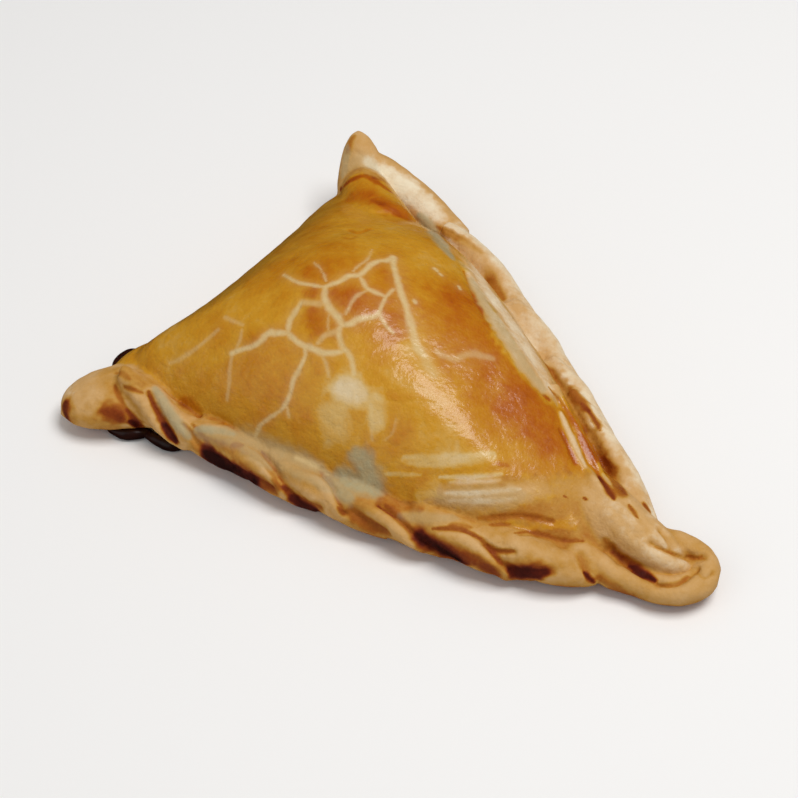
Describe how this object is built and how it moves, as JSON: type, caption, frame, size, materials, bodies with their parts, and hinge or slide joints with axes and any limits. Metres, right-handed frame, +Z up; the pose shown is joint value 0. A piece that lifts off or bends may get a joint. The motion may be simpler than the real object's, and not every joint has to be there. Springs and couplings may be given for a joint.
{
  "type": "pineapple empanada",
  "caption": "Baked triangular turnover with a domed, cracked egg-washed crust, two rope-crimped edges, a folded edge, a curled end, a pinched horn and a round tab.",
  "frame": {"origin": "centre of the plan box, on the flat baked underside", "axes": "+Z up from the underside; +X along the longest side, from the round tab towards the curled end; the front rope faces -Y and the pinched horn is at +Y"},
  "size_m": [0.1352, 0.0968, 0.0311],
  "materials": {
    "baked_crust": "egg-washed baked sweet dough: golden brown, satin where glazed, matt and pale at the rim, burnt syrup at the left corner"
  },
  "bodies": {
    "root": {"pastry": "baked_crust"}
  },
  "joints": []
}
